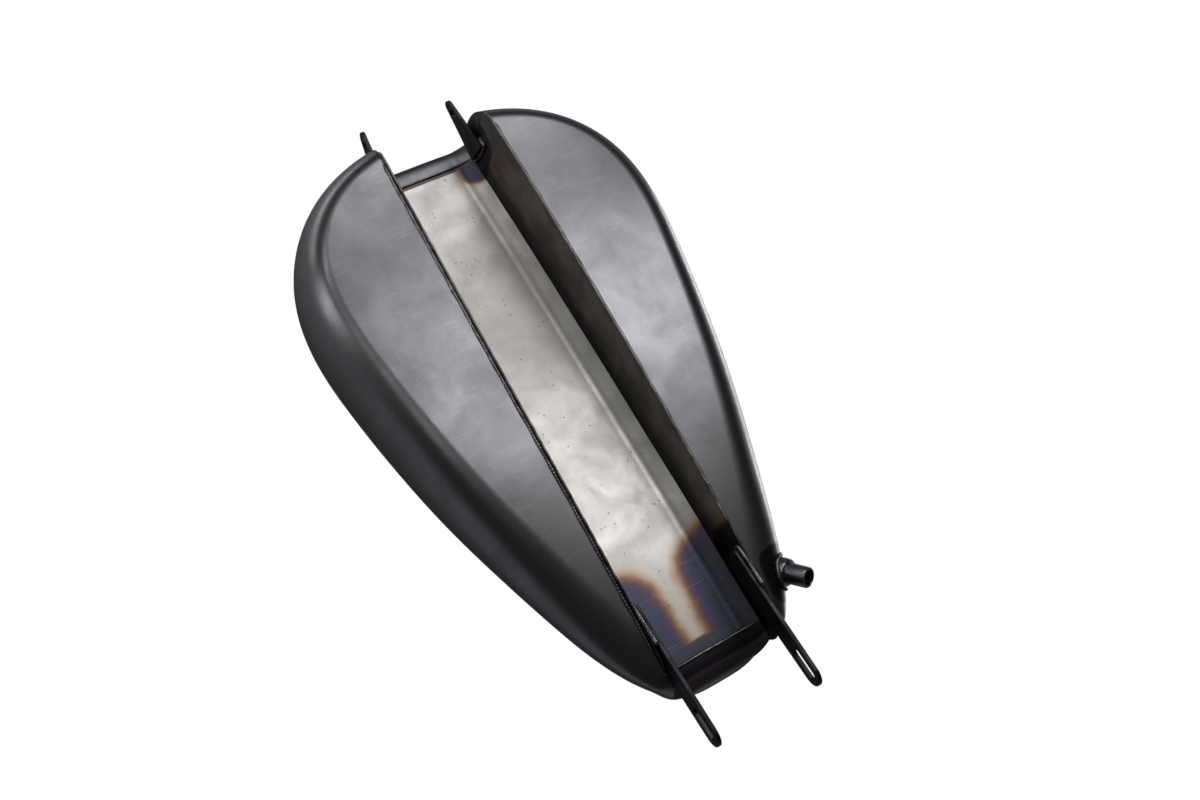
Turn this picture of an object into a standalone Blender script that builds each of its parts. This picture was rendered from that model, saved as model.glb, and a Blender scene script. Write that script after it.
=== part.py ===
"""Bare-steel motorcycle fuel tank, upright as on the frame: +Z up, front towards -Y, the vehicle's left towards +X.

Two pressed half shells are joined over a frame tunnel. Four welded tabs, a filler with a screw cap and a rear
fuel outlet complete it.
"""

import math

import bmesh
import bpy
import numpy as np
from mathutils import Matrix, Vector

# Plan shape of the shells: half width against the share of the length, from the front end
LENGTH = 0.461
HALF_WIDTHS = ((0.0, 0.1556), (0.15, 0.1504), (0.30, 0.1416), (0.45, 0.1311), (0.60, 0.1164), (0.75, 0.0958),
               (0.90, 0.0717), (1.0, 0.0552))
FRONT_SPAN, FRONT_SQUARENESS = 0.360, 2.39
REAR_SPAN, REAR_SQUARENESS = 0.217, 3.50

# Side shape, front value then rear value
WIDEST_HEIGHT = (0.0596, 0.0177)
WIDEST_HEIGHT_BOW = 0.0178
TAIL_LIFT, TAIL_LIFT_START, TAIL_LIFT_SPAN = 0.0141, 0.955, 0.030
ROLL_WIDTH = (0.0245, 0.0307)
CROWN_HEIGHT = (0.173, 0.1045)
RIDGE_SETBACK = (0.101, 0.0723)
FULLNESS = 1.92
BELLY_RISE_FRONT, BELLY_RISE_REAR = 0.0042, 0.0098
BELLY_FRONT_END, BELLY_REAR_START = 0.35, 0.488

# Sheet metal and fits
SHEET = 0.0013
LIP = 0.0045
GAP = 0.0003

# Frame tunnel
TUNNEL_HALF_WIDTH = 0.0418
TUNNEL_BOW = 0.0020
CEILING_FRONT_Y, CEILING_REAR_Y = -0.2125, 0.2043
CREASE_HEIGHT = (0.0757, 0.0415)
SHOULDER_WIDTH, SHOULDER_RISE = 0.016, 0.006
FRONT_LIP, REAR_LIP = (0.0150, 0.0045), (0.0195, 0.0055)

# Tabs: centre height at the start and at the tip's end, the plate's height there, weld length and inward lean
TAB_THICKNESS = 0.003
REAR_TAB = {"start": (0.159, 0.0195), "tip": (0.259, 0.0000), "heights": (0.0215, 0.0180), "weld": 0.030, "lean": 0.0}
REAR_SLOT_LENGTH, REAR_SLOT_WIDTH, REAR_SLOT_EDGE = 0.0240, 0.0085, 0.0045
FRONT_TAB = {"start": (-0.2040, 0.0560), "tip": (-0.2490, 0.0462), "heights": (0.0300, 0.0110), "weld": 0.007, "lean": 0.09}
FRONT_HOLE_WIDTH, FRONT_HOLE_EDGE = 0.0066, 0.0080

# Filler and cap
FILLER_Y = -0.095
NECK_RADIUS, NECK_BORE = 0.0290, 0.0255
NECK_HEIGHT, NECK_DEPTH = 0.0090, 0.0120
SEAL_THICKNESS, SEAL_INNER = 0.0015, 0.0256
FLANGE_RADIUS, FLANGE_THICKNESS = 0.0300, 0.0020
PLUG_RADIUS, PLUG_DEPTH, PLUG_WALL = 0.0248, 0.0130, 0.0030
HUB_RADIUS, HUB_DEPTH, HUB_BORE, VENT_HOLE = 0.0060, 0.0085, 0.0032, 0.0010
BALL_RADIUS, BALL_TRAVEL, RETAINER_THICKNESS = 0.0024, 0.0015, 0.0012
CAP_RADIUS, CAP_SKIRT_INNER, CAP_SKIRT_DROP, CAP_CROWN = 0.0370, 0.0335, 0.0040, 0.0125

# Fuel outlet on the left lobe's tail
OUTLET_POINT = (0.0684, 0.1838, 0.0248)
OUTLET_DIRECTION = (0.38, 0.60, -0.70)
PIPE_RADIUS, PIPE_BORE = 0.0073, 0.0058
PIPE_OUT, PIPE_IN = 0.0208, 0.0110
BUNG_RADIUS, BUNG_OUT, BUNG_IN = 0.0098, 0.0055, 0.0075
STRAINER_RADIUS, STRAINER_WALL, STRAINER_LENGTH = 0.0086, 0.0008, 0.0300

SEAM_BEAD, ARCH_BEAD, TAB_BEAD, RING_BEAD = 0.0013, 0.0012, 0.0013, 0.0014
CROWN_SEAM_WIDTH, CROWN_SEAM_HEIGHT = 0.0050, 0.0007
AROUND, ROLL_STEPS, CROWN_STEPS = 44, 5, 6


def blend(pair, share):
    return pair[0] + (pair[1] - pair[0]) * share


def flank(share):
    """Half width before the ends are rounded: a cubic through HALF_WIDTHS."""
    knots = np.array([k for k, _ in HALF_WIDTHS])
    values = np.array([v for _, v in HALF_WIDTHS])
    slopes = np.gradient(values, knots)
    i = np.clip(np.searchsorted(knots, share, side="right") - 1, 0, len(knots) - 2)
    step = knots[i + 1] - knots[i]
    u = (share - knots[i]) / step
    return (values[i] * (1 + 2 * u) * (1 - u) ** 2 + slopes[i] * step * u * (1 - u) ** 2
            + values[i + 1] * u * u * (3 - 2 * u) + slopes[i + 1] * step * u * u * (u - 1))


def end_rounding(distance, span, squareness):
    return (1 - np.clip(1 - distance / span, 0, 1) ** squareness) ** (1 / squareness)


def outline(count):
    """Half plan outline from the nose to the tail, evenly spaced, with its outward normals."""
    share = 0.5 - 0.5 * np.cos(np.pi * (0.5 - 0.5 * np.cos(np.pi * np.linspace(0, 1, 600))))
    x = (flank(share) * end_rounding(share, FRONT_SPAN, FRONT_SQUARENESS)
         * end_rounding(1 - share, REAR_SPAN, REAR_SQUARENESS))
    y = (share - 0.5) * LENGTH
    along = np.concatenate(([0], np.cumsum(np.hypot(np.diff(x), np.diff(y)))))
    even = np.linspace(0, along[-1], count)
    x, y = np.interp(even, along, x), np.interp(even, along, y)
    dx, dy = np.gradient(x), np.gradient(y)
    size = np.hypot(dx, dy)
    return x, y, dy / size, -dx / size


def belly(y):
    """Height of the bottom panel."""
    share = y / LENGTH + 0.5
    front = np.clip((BELLY_FRONT_END - share) / BELLY_FRONT_END, 0, 1) ** 2
    rear = np.clip((share - BELLY_REAR_START) / (1 - BELLY_REAR_START), 0, 1) ** 2
    return LIP + BELLY_RISE_FRONT * front + BELLY_RISE_REAR * rear


def widest_height(share):
    """Height at which the body is widest; it lifts at the very tail, above the tunnel."""
    lift = np.clip((share - TAIL_LIFT_START) / TAIL_LIFT_SPAN, 0, 1)
    return (blend(WIDEST_HEIGHT, share) + WIDEST_HEIGHT_BOW * 4 * share * (1 - share)
            + TAIL_LIFT * lift ** 2 * (3 - 2 * lift))


def body_rows(inset):
    """Rows of points of one half of the body skin, from the belly's centre line to the crown's."""
    x, y, nx, ny = outline(AROUND)
    share = y / LENGTH + 0.5
    widest = widest_height(share)
    roll = blend(ROLL_WIDTH, share) - inset
    x, y = np.maximum(x - nx * inset, 0), y - ny * inset
    rows = []
    for turn in np.linspace(math.pi / 2, 0, ROLL_STEPS + 1):
        inward = roll * (1 - math.cos(turn))
        yy = y - ny * inward
        low = belly(yy) + inset
        rows.append((np.maximum(x - nx * inward, 0), yy, low + (widest - low) * (1 - math.sin(turn))))
    rows.insert(0, (np.zeros_like(x), rows[0][1], rows[0][2]))
    ridge_front = -LENGTH / 2 + RIDGE_SETBACK[0]
    ridge_rear = LENGTH / 2 - RIDGE_SETBACK[1]
    ridge_share = np.clip((y - ridge_front) / (ridge_rear - ridge_front), 0, 1)
    ridge_y = ridge_front + (ridge_rear - ridge_front) * ridge_share
    crown = blend(CROWN_HEIGHT, ridge_share ** 2 * (3 - 2 * ridge_share)) - inset
    power = 2 / FULLNESS
    for turn in np.linspace(0, math.pi / 2, CROWN_STEPS + 1)[1:]:
        inward, up = 1 - math.cos(turn) ** power, math.sin(turn) ** power
        rows.append((x * (1 - inward), y + (ridge_y - y) * inward, widest + (crown - widest) * up))
    return [np.stack(row, axis=1) for row in rows]


def centre_line():
    """The body's outline in the centre plane, from the nose over the crown to the tail, as (y, z)."""
    rows = body_rows(0)[ROLL_STEPS + 1:]
    front = [(row[0][1], row[0][2]) for row in rows]
    ridge = [(y, z) for _, y, z in rows[-1]]
    rear = [(row[-1][1], row[-1][2]) for row in rows[::-1]]
    line = front + ridge + rear
    return [p for i, p in enumerate(line) if i == 0 or math.dist(p, line[i - 1]) > 1e-5]


def crown_height(y):
    return float(np.interp(y, *zip(*[p for p in centre_line() if abs(p[0]) < LENGTH / 2 - 0.01])))


def material(name, colour, roughness, metallic):
    found = bpy.data.materials.get(name)
    if found:
        return found
    made = bpy.data.materials.new(name)
    made.use_nodes = True
    shader = made.node_tree.nodes["Principled BSDF"]
    shader.inputs["Base Color"].default_value = (*colour, 1)
    shader.inputs["Roughness"].default_value = roughness
    shader.inputs["Metallic"].default_value = metallic
    return made


FINISHES = {
    "pressed_steel": ((0.36, 0.36, 0.39), 0.42, 1.0),
    "tunnel_steel": ((0.55, 0.53, 0.50), 0.38, 1.0),
    "wall_steel": ((0.24, 0.22, 0.21), 0.50, 1.0),
    "weld_steel": ((0.20, 0.20, 0.22), 0.45, 1.0),
    "tab_steel": ((0.09, 0.09, 0.10), 0.45, 1.0),
    "pipe_steel": ((0.12, 0.12, 0.13), 0.40, 1.0),
    "cap_chrome": ((0.80, 0.80, 0.82), 0.12, 1.0),
    "plug_plastic": ((0.03, 0.03, 0.03), 0.45, 0.0),
    "seal_rubber": ((0.02, 0.02, 0.02), 0.75, 0.0),
    "strainer_brass": ((0.62, 0.45, 0.18), 0.35, 1.0),
}


def place(bm, name, finish, origin=(0, 0, 0), smooth_angle=35):
    """Turns a bmesh made in world coordinates into an object whose origin is at the given point."""
    bmesh.ops.recalc_face_normals(bm, faces=bm.faces)
    bmesh.ops.translate(bm, verts=bm.verts, vec=-Vector(origin))
    mesh = bpy.data.meshes.new(name)
    bm.to_mesh(mesh)
    bm.free()
    mesh.shade_smooth()
    mesh.set_sharp_from_angle(angle=math.radians(smooth_angle))
    piece = bpy.data.objects.new(name, mesh)
    piece.location = origin
    if finish:
        mesh.materials.append(material(finish, *FINISHES[finish]))
    else:
        piece.hide_render = True
        piece.display_type = "WIRE"
    bpy.context.scene.collection.objects.link(piece)
    return piece


def strip_faces(bm, rows, closed):
    for a, b in zip(rows, rows[1:]):
        count = len(a)
        for i in range(count if closed else count - 1):
            j = (i + 1) % count
            bm.faces.new((a[i], a[j], b[j], b[i]))


def loft(rings, name, finish, origin=(0, 0, 0), smooth_angle=35, wrap=False):
    """A closed solid through rings of points; wrap joins the last ring to the first instead of capping."""
    bm = bmesh.new()
    rows = [[bm.verts.new(p) for p in ring] for ring in rings]
    strip_faces(bm, rows + rows[:1] if wrap else rows, True)
    if not wrap:
        bm.faces.new(rows[0])
        bm.faces.new(rows[-1][::-1])
    return place(bm, name, finish, origin, smooth_angle)


def cut(target, cutter, operation="DIFFERENCE"):
    """Applies one exact Boolean and removes its cutter."""
    modifier = target.modifiers.new("cut", "BOOLEAN")
    modifier.operation = operation
    modifier.solver = "EXACT"
    modifier.object = cutter
    bpy.context.view_layer.update()
    result = bpy.data.meshes.new_from_object(target.evaluated_get(bpy.context.evaluated_depsgraph_get()))
    target.modifiers.clear()
    old = target.data
    target.data = result
    result.name = old.name
    bpy.data.meshes.remove(old)
    bpy.data.objects.remove(cutter)
    return target


def half_body(side):
    """One half of the solid body, held half a gap away from the centre plane."""
    bm = bmesh.new()
    rows = []
    for row in body_rows(0):
        rows.append([bm.verts.new((side * max(x, GAP / 2), y, z)) for x, y, z in row])
    strip_faces(bm, rows, False)
    bmesh.ops.remove_doubles(bm, verts=bm.verts, dist=1e-5)
    bmesh.ops.dissolve_degenerate(bm, edges=bm.edges, dist=1e-6)
    border = [e for e in bm.edges if e.is_boundary]
    bmesh.ops.edgeloop_fill(bm, edges=border)
    return place(bm, "half_body", "pressed_steel")


def inner_body():
    """The space inside the sheet, both halves in one closed cutter."""
    bm = bmesh.new()
    for side in (1, -1):
        rows = [[bm.verts.new((side * x, y, z)) for x, y, z in row] for row in body_rows(SHEET)]
        strip_faces(bm, rows, False)
    bmesh.ops.remove_doubles(bm, verts=bm.verts, dist=1e-5)
    bmesh.ops.dissolve_degenerate(bm, edges=bm.edges, dist=1e-6)
    return place(bm, "inner_body", None)


def tunnel_half_width(y):
    share = y / LENGTH + 0.5
    return TUNNEL_HALF_WIDTH + TUNNEL_BOW * 4 * share * (1 - share)


def crease_height(y):
    return blend(CREASE_HEIGHT, (y - CEILING_FRONT_Y) / (CEILING_REAR_Y - CEILING_FRONT_Y))


def tunnel_profile(offset, stations=12, lip_steps=5, overrun=0.02):
    """Side profile of the tunnel roof with its turned-up ends, moved up by offset: (y, crease height) pairs."""
    middle = [(y, crease_height(y)) for y in np.linspace(CEILING_FRONT_Y, CEILING_REAR_Y, stations)]
    front, rear = [], []
    for turn in np.linspace(0, math.pi / 2, lip_steps + 1)[1:]:
        front.append((CEILING_FRONT_Y - (FRONT_LIP[0] - offset) * math.sin(turn),
                      middle[0][1] + FRONT_LIP[1] * (1 - math.cos(turn))))
        rear.append((CEILING_REAR_Y + (REAR_LIP[0] - offset) * math.sin(turn),
                     middle[-1][1] + REAR_LIP[1] * (1 - math.cos(turn))))
    line = front[::-1] + middle + rear
    line = [(y, z + offset) for y, z in line]
    reach = LENGTH / 2 + overrun
    return [(-reach, line[0][1])] + line + [(reach, line[-1][1])]


def shoulder(half_width, height, steps=4):
    """Half roof section from the crease up to the flat, as (x, z)."""
    points = []
    for k in range(steps + 1):
        inward = SHOULDER_WIDTH * k / steps
        points.append((half_width - inward, height + SHOULDER_RISE * math.sin(math.pi / 2 * k / steps)))
    return points


def tunnel_block(widen, raise_by):
    """Cutter for everything inside the tunnel, grown sideways by widen and upwards by raise_by."""
    rings = []
    for y, z in tunnel_profile(raise_by):
        half = shoulder(tunnel_half_width(y) + widen, z)
        right = [(x, y, zz) for x, zz in half]
        left = [(-x, y, zz) for x, zz in half[::-1]]
        base = tunnel_half_width(y) + widen
        rings.append([(base, y, -0.05)] + right + left + [(-base, y, -0.05)])
    return loft(rings, "tunnel_block", None)


def roof_ring(y, widen, height):
    half = shoulder(tunnel_half_width(y) + widen, height)
    return [(x, y, z) for x, z in half] + [(-x, y, z) for x, z in half[::-1]]


def sheet_zone():
    """Cutter for the room that the roof and wall sheets take, with the gap around them."""
    grow = SHEET + GAP
    rings = []
    for y in np.linspace(CEILING_FRONT_Y, CEILING_REAR_Y, 12):
        base = tunnel_half_width(y) + grow
        rings.append([(base, y, -0.05)] + roof_ring(y, grow, crease_height(y) + grow) + [(-base, y, -0.05)])
    return loft(rings, "sheet_zone", None)


def rod(start, end, radius, sides=32):
    """A round cutter between two points."""
    bm = bmesh.new()
    start, end = Vector(start), Vector(end)
    turn = (end - start).to_track_quat("Z", "Y").to_matrix().to_4x4()
    bmesh.ops.create_cone(bm, cap_ends=True, segments=sides, radius1=radius, radius2=radius,
                          depth=(end - start).length, matrix=Matrix.Translation((start + end) / 2) @ turn)
    return place(bm, "rod", None)


def lathe(profile, name, finish, sides=32, origin=(0, 0, 0), axis=(0, 0, 1), smooth_angle=35):
    """Turns a closed (radius, distance) outline about an axis through origin; it may touch the axis."""
    to_world = Matrix.Translation(origin) @ Vector(axis).to_track_quat("Z", "Y").to_matrix().to_4x4()
    bm = bmesh.new()
    rows = []
    for radius, distance in profile:
        if radius < 1e-6:
            rows.append([bm.verts.new(to_world @ Vector((0, 0, distance)))])
            continue
        angles = [2 * math.pi * k / sides for k in range(sides)]
        rows.append([bm.verts.new(to_world @ Vector((radius * math.cos(a), radius * math.sin(a), distance)))
                     for a in angles])
    for a, b in zip(rows, rows[1:] + rows[:1]):
        for i in range(sides):
            j = (i + 1) % sides
            corners = [a[i % len(a)], a[j % len(a)], b[j % len(b)], b[i % len(b)]]
            corners = list(dict.fromkeys(corners))
            if len(corners) > 2:
                bm.faces.new(corners)
    return place(bm, name, finish, origin, smooth_angle)


def bead(path, radius, name, closed=False, sides=6):
    """A weld bead: a thin tube along a path of points."""
    path = [Vector(p) for p in path]
    rings = []
    for i, point in enumerate(path):
        before = path[i - 1] if i or closed else point
        after = path[(i + 1) % len(path)] if i + 1 < len(path) or closed else point
        along = (after - before).normalized()
        across = along.cross(Vector((0.0, 0.3, 1.0))).normalized()
        up = across.cross(along)
        rings.append([point + radius * (math.cos(a) * across + math.sin(a) * up)
                      for a in (2 * math.pi * k / sides for k in range(sides))])
    return loft(rings, name, "weld_steel", smooth_angle=80, wrap=closed)


def make_shell(name, side):
    """A pressed half shell: skin, less the tunnel's opening, with the ends turned in around it."""
    shell = half_body(side)
    shell.name = name
    shell.data.name = name
    cut(shell, tunnel_block(0, 0))
    hollow = inner_body()
    cut(hollow, tunnel_block(SHEET, SHEET))
    cut(shell, hollow)
    cut(shell, sheet_zone())
    cut(shell, rod((0, FILLER_Y, 0.10), (0, FILLER_Y, 0.25), NECK_RADIUS + GAP))
    if side > 0:
        at, out = Vector(OUTLET_POINT), Vector(OUTLET_DIRECTION).normalized()
        cut(shell, rod(at - 0.025 * out, at + 0.02 * out, BUNG_RADIUS + GAP))
    return shell


def make_ceiling():
    rings = []
    for y in np.linspace(CEILING_FRONT_Y + GAP, CEILING_REAR_Y - GAP, 14):
        low = roof_ring(y, -GAP, crease_height(y))
        high = roof_ring(y, -GAP, crease_height(y) + SHEET)
        rings.append(low + high[::-1])
    return loft(rings, "tunnel_ceiling", "tunnel_steel", smooth_angle=25)


def lip_height(y):
    return belly(y) - LIP


def make_wall(name, side):
    """A tunnel side sheet with rounded lower corners, bowed like the tunnel."""
    front, rear = CEILING_FRONT_Y + GAP, CEILING_REAR_Y - GAP
    corner = 0.012
    stations = [front, front + 0.0015, front + 0.004, front + corner]
    stations += list(np.linspace(front + 0.03, rear - 0.03, 12))
    stations += [rear - corner, rear - 0.004, rear - 0.0015, rear]
    rings = []
    for y in stations:
        reach = min(y - front, rear - y, corner) / corner
        low = lip_height(y) + corner * (1 - math.sqrt(1 - (1 - reach) ** 2))
        inner, outer = tunnel_half_width(y), tunnel_half_width(y) + SHEET
        top = crease_height(y) + SHEET
        rings.append([(side * inner, y, low), (side * outer, y, low), (side * outer, y, top), (side * inner, y, top)])
    return loft(rings, name, "wall_steel", smooth_angle=25)


def tab_outline(tab, tip_steps=8):
    """Side outline of a tab, a tapered strip with a round end, as (y, z)."""
    (y0, z0), (y1, z1) = tab["start"], tab["tip"]
    radius = tab["heights"][1] / 2
    along = Vector((y1 - y0, z1 - z0)).normalized()
    up = Vector((-along.y, along.x))
    centre = Vector((y1, z1)) - radius * along
    points = [Vector((y0, z0)) - up * tab["heights"][0] / 2]
    for k in range(tip_steps + 1):
        angle = math.pi * (k / tip_steps - 0.5)
        points.append(centre + radius * (math.cos(angle) * along + math.sin(angle) * up))
    points.append(Vector((y0, z0)) + up * tab["heights"][0] / 2)
    return points, centre, along, up


def slot_cutter(centre, along, up, length, width, steps=8):
    """A cutter through the tabs: a round hole, or a slot with round ends."""
    rings = []
    for x in (-0.08, 0.08):
        ring = []
        for end in (1, -1):
            for k in range(steps + 1):
                angle = math.pi * (k / steps - 0.5)
                point = (centre + end * along * (length - width) / 2
                         + end * width / 2 * (math.cos(angle) * along + math.sin(angle) * up))
                ring.append(point)
        tidy = [p for i, p in enumerate(ring) if (p - ring[i - 1]).length > 1e-6]
        rings.append([(x, p.x, p.y) for p in tidy])
    return loft(rings, "slot", None)


def make_tab(name, side, tab, hole_length, hole_width, edge):
    """A flat plate on the wall's inner face, leaning inwards towards its tip."""
    points, centre, along, up = tab_outline(tab)
    widest = min(tunnel_half_width(tab["start"][0]), tunnel_half_width(0.95 * tab["tip"][0]))
    outer = side * (widest - GAP)
    leans = [side * tab["lean"] * (p - points[0]).dot(along) for p in points]
    rings = [[(x - lean, p.x, p.y) for p, lean in zip(points, leans)] for x in (outer, outer - side * TAB_THICKNESS)]
    plate = loft(rings, name, "tab_steel", smooth_angle=25)
    tip = centre + along * (tab["heights"][1] / 2 - edge - hole_length / 2)
    cut(plate, slot_cutter(tip, along, up, hole_length, hole_width))
    return plate


def make_tab_weld(name, side, tab):
    """The bead around a tab's welded end."""
    _, centre, along, up = tab_outline(tab)
    start = Vector(tab["start"])
    length = (centre - start).length
    offset = TAB_BEAD + GAP
    reach = tab["weld"]
    path = []
    for distance, rise in ((reach, -1), (reach / 2, -1), (0, -1), (-0.7 * offset, -0.97), (-offset, -0.88),
                           (-offset, 0.88), (-0.7 * offset, 0.97), (0, 1), (reach / 2, 1), (reach, 1)):
        height = tab["heights"][0] + (tab["heights"][1] - tab["heights"][0]) * max(0, distance) / length
        point = start + distance * along + rise * (height / 2 + offset) * up
        path.append((side * (tunnel_half_width(point.x) - GAP - TAB_BEAD), point.x, point.y))
    return bead(path, TAB_BEAD, name)


def make_seam_weld(name, side):
    path = []
    for y in np.linspace(-0.196, 0.186, 22):
        path.append((side * (tunnel_half_width(y) + SHEET + GAP + SEAM_BEAD), y, belly(y) - GAP - SEAM_BEAD))
    return bead(path, SEAM_BEAD, name)


def make_arch_weld(name, y):
    reach = tunnel_half_width(y) - TAB_THICKNESS - 2 * GAP - ARCH_BEAD
    ring = roof_ring(y, 0, crease_height(y) - GAP - ARCH_BEAD)
    zs = [z for _, _, z in ring][::-1]
    xs = [x for x, _, _ in ring][::-1]
    path = [(x, y, np.interp(x, xs, zs) - 0.0004) for x in np.linspace(-reach, reach, 13)]
    return bead(path, ARCH_BEAD, name)


def make_crown_seam(name, first_y, last_y, lowest):
    """The dressed weld along the crown, a thin flat strip over the joint of the half shells."""
    line = [p for p in centre_line() if first_y <= p[0] <= last_y and p[1] >= lowest]
    rings = []
    for i, (y, z) in enumerate(line):
        ahead, behind = line[min(i + 1, len(line) - 1)], line[max(i - 1, 0)]
        along = Vector((ahead[0] - behind[0], ahead[1] - behind[1])).normalized()
        normal = Vector((-along.y, along.x))
        low = Vector((y, z)) + normal * GAP
        high = low + normal * CROWN_SEAM_HEIGHT
        half = CROWN_SEAM_WIDTH / 2
        rings.append([(half, *low), (0.6 * half, *high), (-0.6 * half, *high), (-half, *low)])
    return loft(rings, name, "weld_steel")


def ring_weld(name, shells, centre, axis, radius):
    """A bead where a round fitting leaves the skin: its path is found by rays cast along the fitting's axis."""
    axis = Vector(axis).normalized()
    side = axis.orthogonal().normalized()
    other = axis.cross(side)
    path = []
    for k in range(20):
        angle = 2 * math.pi * k / 20
        start = Vector(centre) + 0.05 * axis + radius * (math.cos(angle) * side + math.sin(angle) * other)
        hits = [shell.ray_cast(start, -axis) for shell in shells]
        point, normal = min(((h[1], h[2]) for h in hits if h[0]), key=lambda h: (h[0] - start).length)
        path.append(point + normal * (RING_BEAD + 2 * GAP))
    return bead(path, RING_BEAD, name, closed=True)


def make_filler():
    """The neck, and the cap that screws into it, all about one upright axis."""
    base = crown_height(FILLER_Y)
    rim = base + NECK_HEIGHT
    axis_point = (0, FILLER_Y, rim)
    lathe([(NECK_RADIUS, -NECK_HEIGHT - NECK_DEPTH), (NECK_RADIUS, -0.0006), (NECK_RADIUS - 0.0006, 0),
           (NECK_BORE + 0.0006, 0), (NECK_BORE, -0.0006), (NECK_BORE, -NECK_HEIGHT - NECK_DEPTH)],
          "filler_neck", "pipe_steel", origin=axis_point)
    low, high = GAP, GAP + SEAL_THICKNESS
    lathe([(NECK_RADIUS - 0.0004, low), (NECK_RADIUS - 0.0004, high), (SEAL_INNER, high), (SEAL_INNER, low)],
          "cap_gasket", "seal_rubber", origin=axis_point)
    under = high + GAP
    over = under + FLANGE_THICKNESS
    hub_end = under - HUB_DEPTH
    lathe([(VENT_HOLE, over), (FLANGE_RADIUS, over), (FLANGE_RADIUS, under), (PLUG_RADIUS, under),
           (PLUG_RADIUS, -PLUG_DEPTH), (PLUG_RADIUS - PLUG_WALL, -PLUG_DEPTH), (PLUG_RADIUS - PLUG_WALL, under),
           (HUB_RADIUS, under), (HUB_RADIUS, hub_end), (HUB_BORE, hub_end), (HUB_BORE, under - 0.0010),
           (VENT_HOLE, under + 0.0005)], "cap_plug", "plug_plastic", origin=axis_point)
    seat = hub_end + GAP
    lathe([(HUB_BORE - GAP, seat), (HUB_BORE - GAP, seat + RETAINER_THICKNESS),
           (VENT_HOLE, seat + RETAINER_THICKNESS), (VENT_HOLE, seat)], "vent_retainer", "strainer_brass", sides=16,
          origin=axis_point)
    centre = seat + RETAINER_THICKNESS + BALL_RADIUS + GAP
    ball = [(0, -BALL_RADIUS)]
    ball += [(BALL_RADIUS * math.sin(a), -BALL_RADIUS * math.cos(a)) for a in (math.pi * k / 8 for k in range(1, 8))]
    ball.append((0, BALL_RADIUS))
    lathe(ball, "vent_ball", "pipe_steel", sides=12, origin=(0, FILLER_Y, rim + centre))
    floor = over + GAP
    lathe([(0, floor), (CAP_SKIRT_INNER, floor), (CAP_SKIRT_INNER, -CAP_SKIRT_DROP), (CAP_RADIUS, -CAP_SKIRT_DROP),
           (CAP_RADIUS, CAP_CROWN - 0.0050), (CAP_RADIUS - 0.0015, CAP_CROWN - 0.0030),
           (CAP_RADIUS - 0.0050, CAP_CROWN - 0.0014), (0.018, CAP_CROWN - 0.0003), (0, CAP_CROWN)],
          "cap_cover", "cap_chrome", sides=40, origin=axis_point)


def make_outlet():
    at, out = Vector(OUTLET_POINT), Vector(OUTLET_DIRECTION).normalized()
    lathe([(PIPE_RADIUS, -PIPE_IN), (PIPE_RADIUS, PIPE_OUT - 0.0006), (PIPE_RADIUS - 0.0006, PIPE_OUT),
           (PIPE_BORE, PIPE_OUT), (PIPE_BORE, -PIPE_IN)], "outlet_pipe", "pipe_steel", sides=24, origin=at, axis=out)
    lathe([(BUNG_RADIUS, -BUNG_IN), (BUNG_RADIUS, BUNG_OUT - 0.0015), (BUNG_RADIUS - 0.0012, BUNG_OUT),
           (PIPE_RADIUS + GAP, BUNG_OUT), (PIPE_RADIUS + GAP, -BUNG_IN)], "outlet_bung", "pipe_steel", sides=24,
          origin=at, axis=out)
    inner = STRAINER_RADIUS - STRAINER_WALL
    mouth = -BUNG_IN - GAP
    lathe([(STRAINER_RADIUS, mouth), (inner, mouth), (inner, mouth - STRAINER_LENGTH + STRAINER_WALL),
           (0, mouth - STRAINER_LENGTH + STRAINER_WALL), (0, mouth - STRAINER_LENGTH),
           (STRAINER_RADIUS, mouth - STRAINER_LENGTH)], "outlet_strainer", "strainer_brass", sides=20, origin=at,
          axis=out)


def settle_on_base():
    """Moves everything so that the origin is under the middle of the whole object, at its lowest point."""
    bpy.context.view_layer.update()
    pieces = [o for o in bpy.data.objects if o.type == "MESH"]
    corners = np.array([o.matrix_world @ v.co for o in pieces for v in o.data.vertices])
    low, high = corners.min(axis=0), corners.max(axis=0)
    shift = Vector((0, -(low[1] + high[1]) / 2, -low[2]))
    for piece in pieces:
        piece.location += shift


def main():
    for thing in list(bpy.data.objects):
        bpy.data.objects.remove(thing)
    shells = [make_shell("shell_left", 1), make_shell("shell_right", -1)]
    make_ceiling()
    nose_lip = CREASE_HEIGHT[0] + FRONT_LIP[1] + SHOULDER_RISE + 0.003
    tail_lip = CREASE_HEIGHT[1] + REAR_LIP[1] + SHOULDER_RISE + 0.003
    clear = NECK_RADIUS + 0.004
    make_crown_seam("crown_seam_front", -1, FILLER_Y - clear, nose_lip)
    make_crown_seam("crown_seam_rear", FILLER_Y + clear, 1, tail_lip)
    make_arch_weld("front_arch_weld", CEILING_FRONT_Y)
    make_arch_weld("rear_arch_weld", CEILING_REAR_Y)
    for label, side in (("left", 1), ("right", -1)):
        make_wall("tunnel_wall_" + label, side)
        make_seam_weld("seam_weld_" + label, side)
        make_tab("front_tab_" + label, side, FRONT_TAB, FRONT_HOLE_WIDTH, FRONT_HOLE_WIDTH, FRONT_HOLE_EDGE)
        make_tab("rear_tab_" + label, side, REAR_TAB, REAR_SLOT_LENGTH, REAR_SLOT_WIDTH, REAR_SLOT_EDGE)
        make_tab_weld("front_tab_weld_" + label, side, FRONT_TAB)
        make_tab_weld("rear_tab_weld_" + label, side, REAR_TAB)
    make_filler()
    ring_weld("neck_weld", shells, (0, FILLER_Y, crown_height(FILLER_Y)), (0, 0, 1), NECK_RADIUS + RING_BEAD + GAP)
    make_outlet()
    ring_weld("outlet_weld", shells[:1], OUTLET_POINT, OUTLET_DIRECTION, BUNG_RADIUS + RING_BEAD + GAP)
    settle_on_base()


main()
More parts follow.
